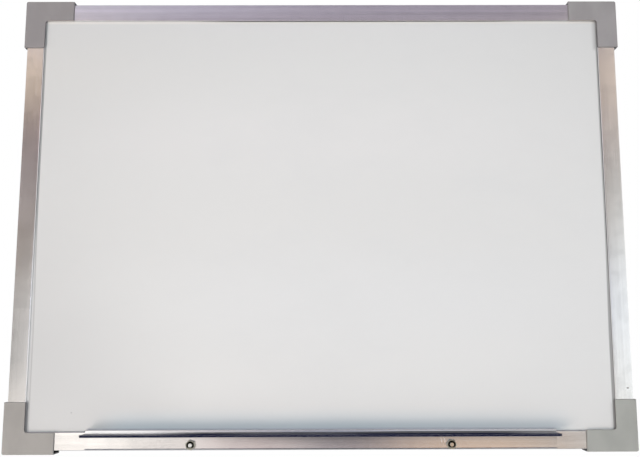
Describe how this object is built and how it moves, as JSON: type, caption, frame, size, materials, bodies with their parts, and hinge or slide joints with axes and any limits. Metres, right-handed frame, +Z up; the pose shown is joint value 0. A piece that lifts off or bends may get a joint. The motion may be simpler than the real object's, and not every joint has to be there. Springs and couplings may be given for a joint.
{
  "type": "dry erase board",
  "caption": "Aluminium-framed dry erase board with plastic corner caps, a bolted marker tray and wall clips that slide along the top rail.",
  "frame": {"origin": "midway between the two wall screw holes of the clips, on the wall plane", "axes": "+X along the width, +Y into the wall, so the writing surface faces -Y; +Z up"},
  "size_m": [0.6118, 0.037, 0.4568],
  "materials": {
    "rail_metal": "bright anodised, fine drawn lines",
    "sheet": "glossy white dry erase enamel",
    "core": "raw fibreboard",
    "backing": "dull rolled sheet",
    "cap_plastic": "smooth warm grey",
    "key_plastic": "moulded black",
    "screw_steel": "zinc plated",
    "tray_metal": "bright anodised, fine drawn lines",
    "bolt_steel": "bright zinc plated",
    "hanger_steel": "zinc plated sheet"
  },
  "bodies": {
    "board": {"rail_top": "rail_metal", "rail_bottom": "rail_metal", "rail_left": "rail_metal", "rail_right": "rail_metal", "writing_surface": "sheet", "core_board": "core", "backing_sheet": "backing", "corner_cap_top_left": "cap_plastic", "corner_key_top_left": "key_plastic", "cap_screws_top_left": "screw_steel", "corner_cap_top_right": "cap_plastic", "corner_key_top_right": "key_plastic", "cap_screws_top_right": "screw_steel", "corner_cap_bottom_left": "cap_plastic", "corner_key_bottom_left": "key_plastic", "cap_screws_bottom_left": "screw_steel", "corner_cap_bottom_right": "cap_plastic", "corner_key_bottom_right": "key_plastic", "cap_screws_bottom_right": "screw_steel", "marker_tray": "tray_metal", "tray_bolt_left": "bolt_steel", "tray_nut_left": "bolt_steel", "tray_bolt_right": "bolt_steel", "tray_nut_right": "bolt_steel"},
    "clip_left": {"hanger_left": "hanger_steel"},
    "clip_right": {"hanger_right": "hanger_steel"}
  },
  "joints": [
    {"name": "hanger_left_slide", "type": "slide", "parent": "board", "child": "clip_left", "axis": [1, 0, 0], "range_m": [-0.035, 0.18]},
    {"name": "hanger_right_slide", "type": "slide", "parent": "board", "child": "clip_right", "axis": [1, 0, 0], "range_m": [-0.18, 0.035]}
  ]
}
